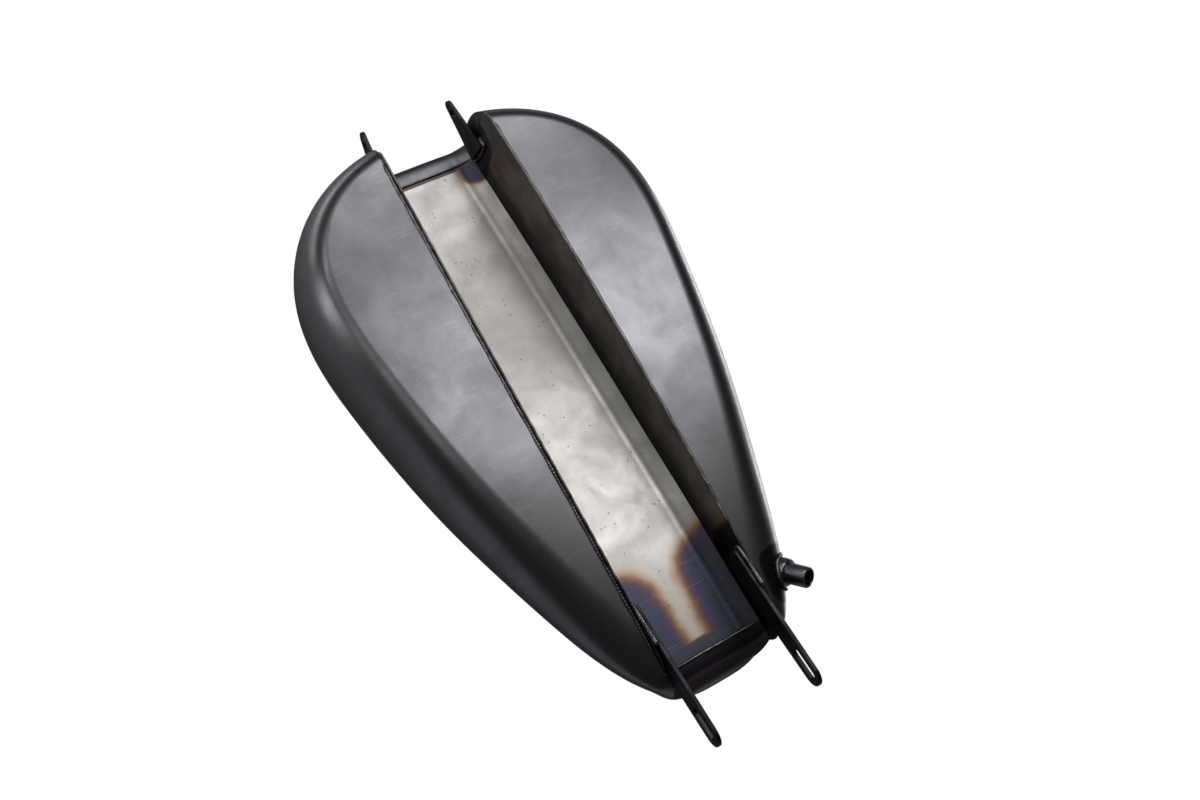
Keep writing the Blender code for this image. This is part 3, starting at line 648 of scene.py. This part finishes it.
def build_specks():
    """Small dark pits and flecks, scattered in loose clusters."""
    tree, source, result = new_group(
        "specks", [("Position", "Vector", (0, 0, 0)), ("Scale", "Float", 220.0), ("Size", "Float", 0.16)],
        [("Mask", "Float")])
    cells = tree.nodes.new("ShaderNodeTexVoronoi")
    tree.links.new(source.outputs["Position"], cells.inputs["Vector"])
    tree.links.new(source.outputs["Scale"], cells.inputs["Scale"])
    near = math_node(tree, "LESS_THAN", cells.outputs["Distance"], source.outputs["Size"])
    chosen = math_node(tree, "GREATER_THAN", noise(tree, source.outputs["Position"], 46.0, 3.0), 0.56)
    tree.links.new(math_node(tree, "MULTIPLY", near, chosen), result.inputs["Mask"])
    return tree


def build_scuffs():
    """Thin scratches along one direction."""
    tree, source, result = new_group(
        "scuffs", [("Position", "Vector", (0, 0, 0)), ("Along", "Vector", (60.0, 900.0, 300.0)),
                   ("Amount", "Float", 0.62)],
        [("Mask", "Float")])
    drawn_out = vector_node(tree, "MULTIPLY", source.outputs["Position"], source.outputs["Along"])
    streak = noise(tree, drawn_out, 1.0, 2.0)
    tree.links.new(math_node(tree, "GREATER_THAN", streak, source.outputs["Amount"]), result.inputs["Mask"])
    return tree


MOTTLE, HEAT, TEMPER, SPECKS, SCUFFS = build_mottle(), build_heat(), build_temper(), build_specks(), build_scuffs()


def use_group(tree, group, position, **values):
    node = tree.nodes.new("ShaderNodeGroup")
    node.node_tree = group
    tree.links.new(position, node.inputs["Position"])
    for label, value in values.items():
        node.inputs[label.replace("_", " ")].default_value = value
    return node.outputs


def start_finish(name, metallic, roughness, **shader_values):
    """A material with its shader and the position socket that its effects read."""
    made = bpy.data.materials.new(name)
    made.use_nodes = True
    tree = made.node_tree
    shader = tree.nodes["Principled BSDF"]
    shader.inputs["Metallic"].default_value = metallic
    shader.inputs["Roughness"].default_value = roughness
    for label, value in shader_values.items():
        shader.inputs[label.replace("_", " ")].default_value = value
    position = tree.nodes.new("ShaderNodeTexCoord").outputs["Object"]
    return made, tree, shader, position


def bump(tree, shader, height, strength, depth):
    node = tree.nodes.new("ShaderNodeBump")
    node.inputs["Strength"].default_value = strength
    node.inputs["Distance"].default_value = depth
    tree.links.new(height, node.inputs["Height"])
    tree.links.new(node.outputs[0], shader.inputs["Normal"])


def patch_of(tab, side, grow=0.0):
    """Centre and half size of the welded part of a tab, on the wall."""
    (y0, z0), (y1, z1) = tab["start"], tab["tip"]
    forward = math.copysign(1, y1 - y0)
    middle = y0 + forward * tab["weld"] / 2
    slope = (z1 - z0) / (y1 - y0)
    centre = Vector((side * tunnel_half_width(middle), middle, z0 + slope * (middle - y0))) + SHIFT
    return tuple(centre), (0.006, tab["weld"] / 2 + grow, tab["heights"][0] / 2 + grow)


def temper(tree, position, base, places):
    """Lays temper colours over the base colour round each (centre, half size, reach), nearest place first."""
    shares = [use_group(tree, HEAT, position, Centre=centre, Half_Size=half, Reach=reach)["Share"]
              for centre, half, reach in places]
    if not shares:
        return base
    nearest = shares[0]
    for share in shares[1:]:
        nearest = math_node(tree, "MINIMUM", nearest, share)
    tint = use_group(tree, TEMPER, position)
    tree.links.new(nearest, tint["Color"].node.inputs["Share"])
    return mix(tree, tint["Mask"], base, tint["Color"])


def steel(name, dark, light, smooth, dull, patches=18.0, metallic=1.0, places=(), speck=0.0, scuff=0.0, dent=0.35):
    """Bare steel with its mottle, temper colours, flecks and scuffs."""
    made, tree, shader, position = start_finish(name, metallic, 0.4)
    mottle = use_group(tree, MOTTLE, position, Dark=(*dark, 1), Light=(*light, 1), Patches=patches,
                       Smooth=smooth, Dull=dull)
    colour = temper(tree, position, mottle["Color"], places)
    if speck:
        flecks = use_group(tree, SPECKS, position, Size=0.13)
        colour = mix(tree, math_node(tree, "MULTIPLY", flecks["Mask"], speck), colour, (0.03, 0.026, 0.022))
    if scuff:
        lines = use_group(tree, SCUFFS, position, Along=(40.0, 1100.0, 260.0), Amount=0.66)
        colour = mix(tree, math_node(tree, "MULTIPLY", lines["Mask"], scuff), colour, (0.62, 0.62, 0.63))
    tree.links.new(colour, shader.inputs["Base Color"])
    tree.links.new(mottle["Roughness"], shader.inputs["Roughness"])
    bump(tree, shader, mottle["Height"], dent, 0.0006)
    return made


def plain(name, colour, metallic, roughness, grain=900.0, strength=0.12, depth=0.0002, vary=0.12, **values):
    """A turned, moulded or plated finish with only a fine grain."""
    made, tree, shader, position = start_finish(name, metallic, roughness, **values)
    fine = noise(tree, position, grain, 3.0)
    low = tuple(c * (1 - vary) for c in colour)
    tree.links.new(mix(tree, fine, low, colour), shader.inputs["Base Color"])
    bump(tree, shader, fine, strength, depth)
    return made


def roof_end(y, reach):
    """A band across the roof's end, for the heat of its weld."""
    return (0, y + SHIFT.y, crease_height(y) + SHIFT.z + 0.003), (0.036, 0.0005, 0.006), reach


REAR_PATCHES = [(*patch_of(REAR_TAB, side, 0.002), 0.026) for side in (1, -1)]
FRONT_PATCHES = [(*patch_of(FRONT_TAB, side), 0.018) for side in (1, -1)]
ROOF_PLACES = ([(*patch_of(REAR_TAB, side, 0.004), 0.042) for side in (1, -1)]
               + [roof_end(ROOF_FRONT, 0.004), roof_end(ROOF_REAR, 0.012)] + FRONT_PATCHES)
SHELL_PLACES = [(tuple(Vector(OUTLET_POINT) + SHIFT), (0.009, 0.009, 0.009), 0.013), roof_end(ROOF_REAR, 0.012)]

FINISHES = {
    "pressed_steel": steel("bare pressed steel", (0.150, 0.149, 0.158), (0.235, 0.234, 0.247), 0.30, 0.38, 26.0,
                           places=SHELL_PLACES, scuff=0.10, dent=0.30),
    "tunnel_steel": steel("clean roof sheet", (0.270, 0.259, 0.246), (0.400, 0.386, 0.369), 0.28, 0.38, 34.0,
                          places=ROOF_PLACES, speck=0.75, scuff=0.06, dent=0.12),
    "wall_steel": steel("side sheet", (0.120, 0.108, 0.098), (0.290, 0.272, 0.255), 0.36, 0.52, 26.0,
                        places=REAR_PATCHES + FRONT_PATCHES, speck=0.5, dent=0.25),
    "tab_steel": steel("mill scale", (0.014, 0.014, 0.017), (0.048, 0.048, 0.056), 0.34, 0.55, 60.0, 0.85, dent=0.3),
    "weld_steel": steel("weld bead", (0.050, 0.045, 0.045), (0.330, 0.320, 0.310), 0.24, 0.50, 150.0, dent=0.5),
    "pipe_steel": steel("turned steel", (0.100, 0.100, 0.110), (0.280, 0.280, 0.300), 0.24, 0.40, 70.0, dent=0.15),
    "seal_rubber": plain("black rubber", (0.022, 0.022, 0.022), 0.0, 0.72),
    "plug_plastic": plain("black nylon", (0.030, 0.030, 0.032), 0.0, 0.45),
    "cap_chrome": plain("bright chrome", (0.80, 0.80, 0.82), 1.0, 0.07, 500.0, 0.02, 0.0001, 0.03),
    "strainer_brass": plain("brass gauze", (0.62, 0.44, 0.17), 1.0, 0.32, 1500.0, 0.4),
}


# ---------------------------------------------------------------- the tank

SIDES = (("left", 1), ("right", -1))
shells = [make_shell("half_shell_" + label, side) for label, side in SIDES]
for shell, (label, side) in zip(shells, SIDES):
    place(shell, "tank", "pressed_steel", "shell_" + label)
place(make_ceiling(), "tank", "tunnel_steel", "tunnel_ceiling")
for label, side in SIDES:
    place(make_wall("side_sheet_" + label, side), "tank", "wall_steel", "tunnel_wall_" + label)
    place(weld_bead(seam_path(side), 0.0011, "seam_bead_" + label, ripple=0.0024, lumps=0.35),
          "tank", "weld_steel", "seam_weld_" + label)
    for end, tab in (("front", FRONT_TAB), ("rear", REAR_TAB)):
        place(make_tab(end + "_plate_" + label, side, tab), "tank", "tab_steel", end + "_tab_" + label)
        place(weld_bead(tab_weld_path(side, tab, 0.0016), 0.0016, end + "_tab_bead_" + label, up=(1.0, 0.0, 0.2)),
              "tank", "weld_steel", end + "_tab_weld_" + label)
place(weld_bead(arch_path(ROOF_FRONT), 0.0008, "front_arch_bead", lumps=0.3), "tank", "weld_steel", "front_arch_weld")
place(weld_bead(arch_path(ROOF_REAR), 0.0009, "rear_arch_bead", lumps=0.3), "tank", "weld_steel", "rear_arch_weld")
CLEAR = NECK_RADIUS + 0.004
LOWEST_FRONT, LOWEST_REAR = (crease + lip[1] + SHOULDER_RISE + 0.003
                             for crease, lip in zip(CREASE_HEIGHT, (FRONT_LIP, REAR_LIP)))
place(make_crown_seam("crown_strip_front", -1, FILLER_Y - CLEAR, LOWEST_FRONT), "tank", "weld_steel", "crown_seam_front")
place(make_crown_seam("crown_strip_rear", FILLER_Y + CLEAR, 1, LOWEST_REAR), "tank", "weld_steel", "crown_seam_rear")


# ---------------------------------------------------------------- filler and cap

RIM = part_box("filler_neck")[1][2] - SHIFT.z
FILLER = (0, FILLER_Y, RIM)
place(lathe([(NECK_RADIUS, -NECK_LENGTH), (NECK_RADIUS, -0.0008), (NECK_RADIUS - 0.0003, -0.0002),
             (NECK_RADIUS - 0.0009, 0), (NECK_BORE + 0.0009, 0), (NECK_BORE + 0.0003, -0.0002),
             (NECK_BORE, -0.0008), (NECK_BORE, -NECK_LENGTH)],
            "filler_ring", origin=FILLER), "tank", "pipe_steel", "filler_neck")
NECK_FOOT = ring_path(shells, FILLER, (0, 0, 1), NECK_RADIUS + 0.0014)
place(weld_bead(NECK_FOOT, 0.0017, "neck_bead", closed=True), "tank", "weld_steel", "neck_weld")


def fluted(radius, distance, angle):
    """Finger grips round the cap's skirt, fading out under its dome."""
    if radius < 0.0352:
        return radius
    share = min(1, max(0, (0.0085 - distance) / 0.003))
    return radius - 0.0011 * share * max(0, math.cos(18 * angle)) ** 2


def threaded(radius, distance, angle):
    """A shallow screw thread on the plug."""
    if abs(radius - 0.0248) > 1e-5 or distance > 0.0005:
        return radius
    return radius - 0.0006 * (0.5 + 0.5 * math.sin(2 * math.pi * distance / 0.0036 - angle))


SEAT = 0.0021
place(lathe([(0.0286, 0.0003), (0.0286, 0.0018), (0.0256, 0.0018), (0.0256, 0.0003)], "sealing_ring", origin=FILLER),
      "cap_seal", "seal_rubber", "cap_gasket")
place(lathe([(0.0010, SEAT + 0.0020), (0.0300, SEAT + 0.0020), (0.0300, SEAT), (0.0248, SEAT)]
            + [(0.0248, d) for d in np.linspace(0.0004, -0.0130, 30)]
            + [(0.0218, -0.0130), (0.0218, SEAT), (0.0060, SEAT), (0.0060, SEAT - 0.0085), (0.0032, SEAT - 0.0085),
               (0.0032, SEAT - 0.0010), (0.0010, SEAT + 0.0005)], "screw_plug", origin=FILLER, flute=threaded),
      "cap", "plug_plastic", "cap_plug")
place(lathe([(0.0029, -0.0061), (0.0029, -0.0049), (0.0010, -0.0049), (0.0010, -0.0061)], "vent_ring", 48, FILLER),
      "cap", "strainer_brass", "vent_retainer")
FLOOR = SEAT + 0.0023
place(lathe([(0, FLOOR), (0.0335, FLOOR), (0.0335, -0.0036), (0.0339, -0.0040), (0.0366, -0.0040), (0.0370, -0.0035)]
            + [(0.0370, d) for d in np.linspace(-0.0028, 0.0070, 12)]
            + [(0.0368, 0.0083), (0.0362, 0.0094), (0.0350, 0.0102), (0.0330, 0.0107), (0.0315, 0.0108),
               (0.0300, 0.0105), (0.0280, 0.0108), (0.0240, 0.0114), (0.0180, 0.0120), (0.0100, 0.0124), (0, 0.0125)],
            "chrome_cap", 144, FILLER, flute=fluted), "cap", "cap_chrome", "cap_cover")


# ---------------------------------------------------------------- fuel outlet

OUT = Vector(OUTLET_DIRECTION).normalized()
place(lathe([(PIPE_RADIUS, -PIPE_IN), (PIPE_RADIUS, PIPE_OUT - 0.0010), (PIPE_RADIUS - 0.0003, PIPE_OUT - 0.0003),
             (PIPE_RADIUS - 0.0008, PIPE_OUT), (PIPE_BORE + 0.0003, PIPE_OUT), (PIPE_BORE, PIPE_OUT - 0.0004),
             (PIPE_BORE, -PIPE_IN)], "outlet_tube", origin=OUTLET_POINT, axis=OUT), "tank", "pipe_steel", "outlet_pipe")
place(lathe([(BUNG_RADIUS, -BUNG_IN), (BUNG_RADIUS, BUNG_OUT - 0.0018), (BUNG_RADIUS - 0.0005, BUNG_OUT - 0.0006),
             (BUNG_RADIUS - 0.0014, BUNG_OUT), (PIPE_RADIUS + 0.0001, BUNG_OUT), (PIPE_RADIUS + 0.0001, -BUNG_IN)],
            "outlet_collar", origin=OUTLET_POINT, axis=OUT), "tank", "pipe_steel", "outlet_bung")
BUNG_FOOT = ring_path(shells[:1], OUTLET_POINT, OUT, BUNG_RADIUS + 0.0014)
place(weld_bead(BUNG_FOOT, 0.0015, "outlet_bead", closed=True), "tank", "weld_steel", "outlet_weld")
for node, slot in (("vent_ball", "pipe_steel"), ("outlet_strainer", "strainer_brass")):
    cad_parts[node].data.materials.clear()
    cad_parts[node].data.materials.append(FINISHES[slot])


# ---------------------------------------------------------------- floor, light and camera

def make_floor():
    """A pale floor that is solid from above and clear from underneath."""
    bm = bmesh.new()
    bmesh.ops.create_grid(bm, x_segments=2, y_segments=2, size=12.0)
    mesh = bpy.data.meshes.new("floor")
    bm.to_mesh(mesh)
    bm.free()
    floor = bpy.data.objects.new("floor", mesh)
    floor.location = (0, 0, -0.001)
    bpy.context.scene.collection.objects.link(floor)
    finish = bpy.data.materials.new("pale floor")
    finish.use_nodes = True
    tree = finish.node_tree
    tree.nodes.clear()
    solid = tree.nodes.new("ShaderNodeBsdfDiffuse")
    solid.inputs["Color"].default_value = (0.80, 0.80, 0.80, 1)
    pale = tree.nodes.new("ShaderNodeEmission")
    pale.inputs["Strength"].default_value = 0.50
    surface = tree.nodes.new("ShaderNodeAddShader")
    tree.links.new(solid.outputs[0], surface.inputs[0])
    tree.links.new(pale.outputs[0], surface.inputs[1])
    clear = tree.nodes.new("ShaderNodeBsdfTransparent")
    rays = tree.nodes.new("ShaderNodeLightPath")
    facing = tree.nodes.new("ShaderNodeNewGeometry")
    seen = math_node(tree, "MULTIPLY", rays.outputs["Is Camera Ray"],
                     math_node(tree, "SUBTRACT", 1.0, facing.outputs["Backfacing"]))
    joined = tree.nodes.new("ShaderNodeMixShader")
    tree.links.new(seen, joined.inputs[0])
    tree.links.new(clear.outputs[0], joined.inputs[1])
    tree.links.new(surface.outputs[0], joined.inputs[2])
    output = tree.nodes.new("ShaderNodeOutputMaterial")
    tree.links.new(joined.outputs[0], output.inputs[0])
    floor.data.materials.append(finish)


def make_world():
    """White to the eye; to what it lights, a dim room with a lighter band above the horizon."""
    world = bpy.data.worlds.new("studio")
    bpy.context.scene.world = world
    world.use_nodes = True
    tree = world.node_tree
    tree.nodes.clear()
    white, room = (tree.nodes.new("ShaderNodeBackground") for _ in range(2))
    white.inputs["Color"].default_value = (1, 1, 1, 1)
    room.inputs["Color"].default_value = (0.86, 0.88, 0.92, 1)
    split = tree.nodes.new("ShaderNodeSeparateXYZ")
    tree.links.new(tree.nodes.new("ShaderNodeTexCoord").outputs["Generated"], split.inputs[0])
    height = math_node(tree, "ADD", math_node(tree, "MULTIPLY", split.outputs["Z"], 0.5), 0.5)
    level = ramp(tree, height, (0.475, 0.032), (0.575, 0.24), (0.80, 0.24), (0.95, 0.05))
    tree.links.new(level, room.inputs["Strength"])
    rays = tree.nodes.new("ShaderNodeLightPath")
    joined = tree.nodes.new("ShaderNodeMixShader")
    tree.links.new(rays.outputs["Is Camera Ray"], joined.inputs[0])
    tree.links.new(room.outputs[0], joined.inputs[1])
    tree.links.new(white.outputs[0], joined.inputs[2])
    output = tree.nodes.new("ShaderNodeOutputWorld")
    tree.links.new(joined.outputs[0], output.inputs[0])


def add_lamp(name, at, aim, width, height, power, along=(1, 0, 0)):
    """A soft lamp whose width runs along the given direction."""
    lamp = bpy.data.lights.new(name, "AREA")
    lamp.shape, lamp.size, lamp.size_y = "RECTANGLE", width, height
    lamp.energy = power
    holder = bpy.data.objects.new(name, lamp)
    back = (Vector(at) - Vector(aim)).normalized()
    upward = back.cross(Vector(along)).normalized()
    axes = Matrix((upward.cross(back), upward, back)).transposed().to_4x4()
    holder.matrix_world = Matrix.Translation(at) @ axes
    holder.visible_camera = False
    bpy.context.scene.collection.objects.link(holder)


def add_camera():
    """Below the right-hand lobe's tail, looking up along the tunnel."""
    data = bpy.data.cameras.new("camera")
    data.sensor_width, data.lens = 36.0, 37.5
    data.clip_start = 0.01
    camera = bpy.data.objects.new("camera", data)
    right, up, back = (0.85038, 0.48692, -0.19939), (0.40521, -0.84779, -0.34213), (-0.33563, 0.21014, -0.91825)
    place_at = Vector((-0.27843, 0.20319, -0.77809)) + SHIFT
    camera.matrix_world = Matrix.Translation(place_at) @ Matrix((right, up, back)).transposed().to_4x4()
    bpy.context.scene.collection.objects.link(camera)
    bpy.context.scene.camera = camera


make_floor()
make_world()
add_lamp("under softbox", (0.55, -0.40, -1.35), (0.0, 0.05, 0.05), 1.2, 0.40, 6.0)
add_lamp("front softbox", (0.40, -1.10, -1.15), (0.0, -0.1, 0.05), 1.0, 0.40, 4.0)
add_lamp("under fill", (-0.75, -0.35, -1.20), (0.0, 0.0, 0.05), 0.8, 0.5, 1.0)
add_lamp("roll strip", (-0.58, -0.95, -1.00), (-0.1, -0.1, 0.03), 0.6, 0.06, 1.0)
add_lamp("nose softbox", (-0.50, -1.40, 0.20), (0.0, -0.2, 0.08), 1.2, 0.3, 2.2)
add_lamp("side strip", (-1.35, -0.75, -0.25), (0.0, -0.1, 0.08), 0.10, 1.0, 3, (0, 1, 0))
add_lamp("far strip", (1.4, 0.1, 0.9), (0.0, 0.0, 0.08), 1.4, 0.35, 6, (0, 1, 0))
add_lamp("top softbox", (0.65, -0.35, 1.75), (0.0, 0.0, 0.1), 0.9, 0.9, 12)
add_camera()
bpy.context.scene.view_settings.view_transform = "Standard"
